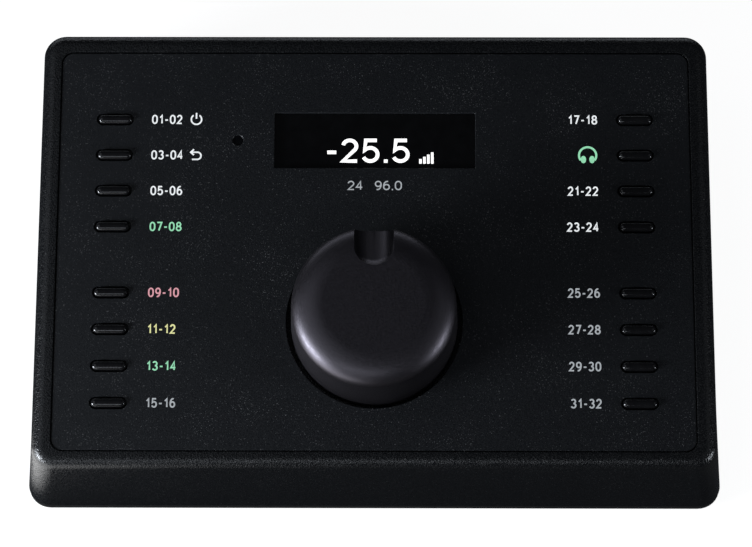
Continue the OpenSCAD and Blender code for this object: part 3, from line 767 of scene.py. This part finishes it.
def build_port_insides():
    """A dark liner and eight sprung contacts in each network socket."""
    low, high = node_box("network_sockets")
    middles = (high.x - PORT_BODY_W / 2, low.x + PORT_BODY_W / 2)
    floor, mouth = low.z + PORT_SILL, high.y
    for i, x in enumerate(middles, 1):
        half = PORT_W / 2 - LINER_GAP
        low_z, high_z = floor + LINER_GAP, floor + PORT_H - LINER_GAP
        back, back_inside = mouth - PORT_L + LINER_GAP, mouth - PORT_L + 2 * LINER_T
        liner = block((x - half, back, low_z), (x + half, mouth - 2 * LINER_GAP, high_z))
        hollow = block((x - half + LINER_T, back_inside, low_z + LINER_T),
                       (x + half - LINER_T, mouth + OVER, high_z - LINER_T))
        latch = block((x - LATCH_W / 2, back_inside, high_z - 2 * LINER_T),
                      (x + LATCH_W / 2, mouth + OVER, high_z + OVER))
        for cutter in (hollow, latch):
            liner = boolean(liner, cutter, "DIFFERENCE")
        smooth(liner)
        new_object(f"port_liner_{i}", liner, "case", DARK_PLASTIC)
        springs = []
        for k in range(CONTACTS):
            across = x + (k - (CONTACTS - 1) / 2) * CONTACT_PITCH
            verts = [(across + side * CONTACT_W / 2, mouth - depth, floor + height)
                     for side in (-1, 1) for depth, height in CONTACT_OUTLINE]
            springs.append(mesh_from(verts, ring_faces(len(CONTACT_OUTLINE), 2)))
        contacts = combined(springs)
        smooth(contacts)
        new_object(f"port_contacts_{i}", contacts, "case", BRASS)


# ------------------------------------------------------------------ lit marks


def loop(x, y, rx, ry):
    """A whole ellipse, whose last point stands one step before its first."""
    return bow(x, y, rx, ry, 0, 345, 23)


# The strokes of each sign in a box of 1 by 1, which of them are closed, and its width if not 1.
SIX = [loop(0.5, 0.31, 0.48, 0.31), bow(0.62, 0.42, 0.60, 0.58, 76, 186)]
STROKES = {
    "0": [bow(0.5, 0.62, 0.5, 0.38, 0, 180) + bow(0.5, 0.38, 0.5, 0.38, 180, 360)],
    "1": [[(0.12, 0.72), (0.55, 1), (0.55, 0)]],
    "2": [bow(0.49, 0.72, 0.46, 0.28, 170, -38) + [(0.02, 0), (1, 0)]],
    "3": [bow(0.47, 0.76, 0.43, 0.24, 155, -90), bow(0.47, 0.26, 0.5, 0.26, 90, -158)],
    "4": [[(0.72, 0), (0.72, 1), (0, 0.28), (1, 0.28)]],
    "5": [[(0.92, 1), (0.16, 1)] + bow(0.47, 0.32, 0.51, 0.32, 142, -155)],
    "6": SIX,
    "7": [[(0, 1), (1, 1), (0.36, 0)]],
    "8": [loop(0.5, 0.76, 0.42, 0.24), loop(0.5, 0.26, 0.5, 0.26)],
    "9": [[(1 - x, 1 - y) for x, y in stroke] for stroke in SIX],
    "-": [[(0, 0.42), (0.62, 0.42)]],
    ".": [[(0.1, -0.08), (0.1, 0.08)]],
    " ": [],
}
CLOSED = {"0": (0,), "6": (0,), "8": (0, 1), "9": (0,)}
ADVANCE = {"-": 0.62, ".": 0.2, "1": 0.7, " ": 0.5}


def number_mesh(text, height, width, weight, place, anchor=0.0, lift=0.02, gap=0.3):
    """Digits drawn as strokes. anchor 0 puts their left end at place, 0.5 their middle, 1 their
    right end. weight is the strokes' width and gap the space between two signs."""
    tall, wide = height - weight, width - weight
    step = weight + gap
    length = sum(ADVANCE.get(c, 1) * wide + step for c in text) - gap
    x = place[0] - anchor * length + weight / 2
    meshes = []
    for c in text:
        for k, stroke in enumerate(STROKES[c]):
            points = [(x + px * wide, place[1] + (py - 0.5) * tall) for px, py in stroke]
            meshes.append(stroke_mesh(points, weight, lift, k in CLOSED.get(c, ())))
        x += ADVANCE.get(c, 1) * wide + step
    return combined(meshes)


def stroke_mesh(points, width, lift=0.02, closed=False):
    """A flat line of even width through points on the panel, lying lift above its face."""
    left, right = [], []
    count = len(points)
    for i, point in enumerate(points):
        before = points[i - 1] if i or closed else point
        after = points[(i + 1) % count] if i < count - 1 or closed else point
        come = Vector((point[0] - before[0], point[1] - before[1])).normalized()
        go = Vector((after[0] - point[0], after[1] - point[1])).normalized()
        along = (come + go).normalized()
        cosines = [along.dot(way) if way.length else 1 for way in (go, come)]
        mitre = max(0.5, *cosines)
        side = Vector((-along.y, along.x)) * width / 2 / mitre
        left.append((point[0] + side.x, point[1] + side.y))
        right.append((point[0] - side.x, point[1] - side.y))
    verts = [(x, y, lift) for x, y in left] + [(x, y, lift) for x, y in right]
    faces = [(i, (i + 1) % count, count + (i + 1) % count, count + i)
             for i in range(count if closed else count - 1)]
    mesh = mesh_from(verts, faces, Matrix.Identity(4))
    bm = bmesh.new()
    bm.from_mesh(mesh)
    bmesh.ops.solidify(bm, geom=bm.faces, thickness=MARK_T)
    bmesh.ops.recalc_face_normals(bm, faces=bm.faces)
    bm.to_mesh(mesh)
    bm.free()
    mesh.transform(PANEL_MATRIX)
    return mesh


MARK_T = 0.012

WHITE_LIGHT = glow("legend_white", (0.93, 0.97, 1.0), 0.95)
GREEN_LIGHT = glow("legend_green", (0.36, 0.88, 0.55), 0.85)
RED_LIGHT = glow("legend_red", (0.86, 0.40, 0.46), 0.85)
YELLOW_LIGHT = glow("legend_yellow", (0.86, 0.86, 0.40), 0.9)
DIM_LIGHT = glow("legend_dim", (0.56, 0.60, 0.64), 0.7)
DIGIT_LIGHT = glow("digits_white", (1.0, 1.0, 1.0), 1.4)

LEGEND_H = 2.6
LEGEND_DIGIT_W = 1.55
LEGEND_WEIGHT = 0.40
LEGEND_LEFT_U = -59.7
LEGEND_RIGHT_U = 59.5
HEADPHONES_U = 56.8
SIGN_U = -47.8
SIGN_WEIGHT = 0.42
LEFT_LIGHTS = [WHITE_LIGHT] * 3 + [GREEN_LIGHT, RED_LIGHT, YELLOW_LIGHT, GREEN_LIGHT, DIM_LIGHT]
RIGHT_LIGHTS = [WHITE_LIGHT, GREEN_LIGHT, WHITE_LIGHT, WHITE_LIGHT] + [DIM_LIGHT] * 4


def lit_mark(name, mesh, material):
    new_object(name, mesh, "case", material)


def build_legends():
    for node, sign, i in BUTTONS:
        v = middle(node)[1]
        number = 2 * i - 1 if sign < 0 else 2 * i + 15
        light = (LEFT_LIGHTS if sign < 0 else RIGHT_LIGHTS)[i - 1]
        if sign > 0 and i == 2:
            lit_mark("mark_headphones", headphones_mesh((HEADPHONES_U, v)), light)
            continue
        anchor, u = (0, LEGEND_LEFT_U) if sign < 0 else (1, LEGEND_RIGHT_U)
        pair = f"{number:02d}-{number + 1:02d}"
        mesh = number_mesh(pair, LEGEND_H, LEGEND_DIGIT_W, LEGEND_WEIGHT, (u, v), anchor)
        lit_mark("legend_" + node.removeprefix("button_"), mesh, light)
    rows = [middle(f"button_left_{i}")[1] for i in (1, 2)]
    lit_mark("mark_standby", standby_mesh((SIGN_U, rows[0])), WHITE_LIGHT)
    lit_mark("mark_return", return_mesh((SIGN_U, rows[1])), WHITE_LIGHT)


def standby_mesh(centre):
    """An open ring with an upright bar in its gap."""
    x, y = centre
    ring = stroke_mesh(arc(centre, 1.38, 125, 415, 40), SIGN_WEIGHT)
    bar = stroke_mesh([(x, y + 0.2), (x, y + 1.85)], SIGN_WEIGHT)
    return combined([ring, bar])


def return_mesh(centre):
    """An arrow that turns back to the left."""
    x, y = centre
    bend = arc((x + 0.4, y - 0.25), 1.0, 90, -90, 16)
    points = [(x - 1.3, y + 0.75), (x + 0.4, y + 0.75)] + bend + [(x - 1.0, y - 1.25)]
    line = stroke_mesh(points, SIGN_WEIGHT)
    tip = [(x - 0.5, y + 1.55), (x - 1.35, y + 0.75), (x - 0.5, y - 0.05)]
    return combined([line, stroke_mesh(tip, SIGN_WEIGHT)])


def headphones_mesh(centre):
    """A headband with its two cups."""
    x, y = centre
    band = stroke_mesh(arc((x, y), 2.3, -36, 216, 40), 0.56)
    cups = [stroke_mesh(loop(x + side * 1.15, y - 1.15, 0.36, 0.66), 0.7, closed=True)
            for side in (-1, 1)]
    return combined([band] + cups)


def build_display():
    """The lit number and its level bars on the glass, and the small numbers below the window."""
    u, v = middle("display_glass")
    lift = -PANEL_T + 0.02
    digits = number_mesh("-25.5", height=6.8, width=4.85, weight=1.0, place=(u - 13.2, v - 2.6),
                         lift=lift, gap=0.72)
    lit_mark("display_digits", digits, DIGIT_LIGHT)
    bars = []
    for i in range(4):
        x, top = u + 12.2 + 1.05 * i, v - 4.9 + 0.62 * i
        bars.append(stroke_mesh([(x, v - 6.2), (x, top)], 0.7, lift))
    lit_mark("display_bars", combined(bars), DIGIT_LIGHT)
    row = number_mesh("24  96.0", height=2.6, width=1.9, weight=0.34, place=(0, v - 12.6),
                      anchor=0.5)
    lit_mark("legend_rate", row, DIM_LIGHT)


# ------------------------------------------------------------------ stage


AIM = Vector((0, 0, 0.03))
# Name, azimuth from the front towards the right and elevation in degrees, distance and size in
# metres, power in watts.
SOFTBOXES = (
    ("light_front_left", -63, 14, 0.5, (0.20, 0.08), 2.9),
    ("light_left", -78, 56, 0.8, (0.6, 0.5), 0.44),
    ("light_front", -12, 40, 0.9, (0.5, 0.10), 0.6),
    ("light_low_left", -36, 5, 0.6, (0.5, 0.12), 0.35),
    ("light_right", 68, 13, 0.7, (0.16, 0.12), 1.15),
    ("light_right_high", 78, 50, 0.8, (0.5, 0.4), 0.13),
    ("light_back", -170, 10, 0.9, (1.2, 0.3), 1.3),
)
FLOOR_REACH = 4000
CARD_REACH = 600
# The card glows from just over the floor in front of the object, where the camera doesn't see it.
CARD_H = 2
CARD_OUTLINE = ((-CARD_REACH, -CARD_REACH), (CARD_REACH, -CARD_REACH), (CARD_REACH, 20),
                (108, -45), (90, -95), (-85, -95), (-98, -60), (-108, -48), (-CARD_REACH, -20))
CARD_DRIFT = (-0.13, -0.05, 3.6, 0.05)
WHITE = 0.93
ROOM = (0.030, 0.032, 0.036, 1)


def softbox(name, azimuth, elevation, distance, size, power):
    """A soft rectangular light, aimed at the object."""
    light = bpy.data.lights.new(name, "AREA")
    light.shape = "RECTANGLE"
    light.size, light.size_y = size
    light.energy = power
    light.color = (0.94, 1.0, 1.08)
    obj = bpy.data.objects.new(name, light)
    SCENE.collection.objects.link(obj)
    a, e = math.radians(azimuth), math.radians(elevation)
    away = Vector((math.sin(a) * math.cos(e), -math.cos(a) * math.cos(e), math.sin(e)))
    obj.location = away * distance
    obj.rotation_mode = "QUATERNION"
    obj.rotation_quaternion = (AIM - obj.location).to_track_quat("-Z", "Y")


def stage_sheet(name, corners, z, colour, emission, drift=None):
    """A flat sheet of the studio. Its glow may drift along X: two places in metres, then the glow
    at each."""
    mesh = mesh_from([(x, y, z) for x, y in corners], [tuple(range(len(corners)))])
    sheet = bpy.data.objects.new(name, mesh)
    SCENE.collection.objects.link(sheet)
    s = Shader(name + "_paper")
    s.colour(s.ramp(s.noise(3.0), [(0.3, (colour * 0.96,) * 3), (0.7, (colour,) * 3)]))
    s.set(Roughness=0.9)
    s.surface.inputs["Emission Color"].default_value = (1, 1, 1, 1)
    s.surface.inputs["Emission Strength"].default_value = emission
    if drift:
        split = s.node("ShaderNodeSeparateXYZ")
        s.link(s.place, split.inputs["Vector"])
        fade = s.node("ShaderNodeMapRange", interpolation_type="SMOOTHSTEP")
        for key, number in zip(RANGE_ENDS, drift):
            fade.inputs[key].default_value = number
        s.link(split.outputs["X"], fade.inputs["Value"])
        s.link(fade.outputs["Result"], s.surface.inputs["Emission Strength"])
    mesh.materials.append(s.material)
    return sheet


def build_stage():
    """Floor, bounce card, soft lights, and a world that is pale to the camera and dim otherwise."""
    floor_outline = [(-FLOOR_REACH, -FLOOR_REACH), (FLOOR_REACH, -FLOOR_REACH),
                     (FLOOR_REACH, FLOOR_REACH), (-FLOOR_REACH, FLOOR_REACH)]
    floor = stage_sheet("floor", floor_outline, 0, 0.25, WHITE)
    floor.visible_glossy = False
    floor.visible_diffuse = False
    card = stage_sheet("card", CARD_OUTLINE, CARD_H, 0.0, 1.0, CARD_DRIFT)
    card.visible_camera = False
    card.visible_shadow = False
    for values in SOFTBOXES:
        softbox(*values)

    world = bpy.data.worlds.new("studio")
    SCENE.world = world
    world.use_nodes = True
    nodes, links = world.node_tree.nodes, world.node_tree.links
    backdrop, room = nodes["Background"], nodes.new("ShaderNodeBackground")
    backdrop.inputs["Color"].default_value = (WHITE, WHITE, WHITE, 1)
    room.inputs["Color"].default_value = ROOM
    pick = nodes.new("ShaderNodeMixShader")
    seen = nodes.new("ShaderNodeLightPath")
    links.new(seen.outputs["Is Camera Ray"], pick.inputs["Fac"])
    links.new(room.outputs["Background"], pick.inputs[1])
    links.new(backdrop.outputs["Background"], pick.inputs[2])
    links.new(pick.outputs["Shader"], nodes["World Output"].inputs["Surface"])
    SCENE.view_settings.view_transform = "Standard"


def build_camera():
    """The photograph's view. Angles in degrees, target and distance in millimetres."""
    azimuth, elevation, roll = (math.radians(x) for x in (-0.701, 62.573, -0.530))
    target = Vector((0.364, -7.337, 26.0))
    distance = 814.35
    focal_pixels = 3042.3
    image_width = 752
    level = math.cos(elevation)
    back = Vector((-math.sin(azimuth) * level, -math.cos(azimuth) * level, math.sin(elevation)))
    right = (-back).cross(Vector((0, 0, 1))).normalized()
    up = right.cross(-back)
    cos_roll, sin_roll = math.cos(roll), math.sin(roll)
    right, up = right * cos_roll + up * sin_roll, up * cos_roll - right * sin_roll
    data = bpy.data.cameras.new("camera")
    data.sensor_width = 36
    data.lens = focal_pixels * data.sensor_width / image_width
    camera = bpy.data.objects.new("camera", data)
    SCENE.collection.objects.link(camera)
    place = (target + back * distance) * MM
    camera.matrix_world = Matrix.Translation(place) @ Matrix(
        [(right[i], up[i], back[i]) for i in range(3)]).to_4x4()
    SCENE.camera = camera


finish_cad_nodes()
build_case()
build_panel()
build_knob()
build_buttons()
build_port_insides()
build_legends()
build_display()
build_stage()
build_camera()
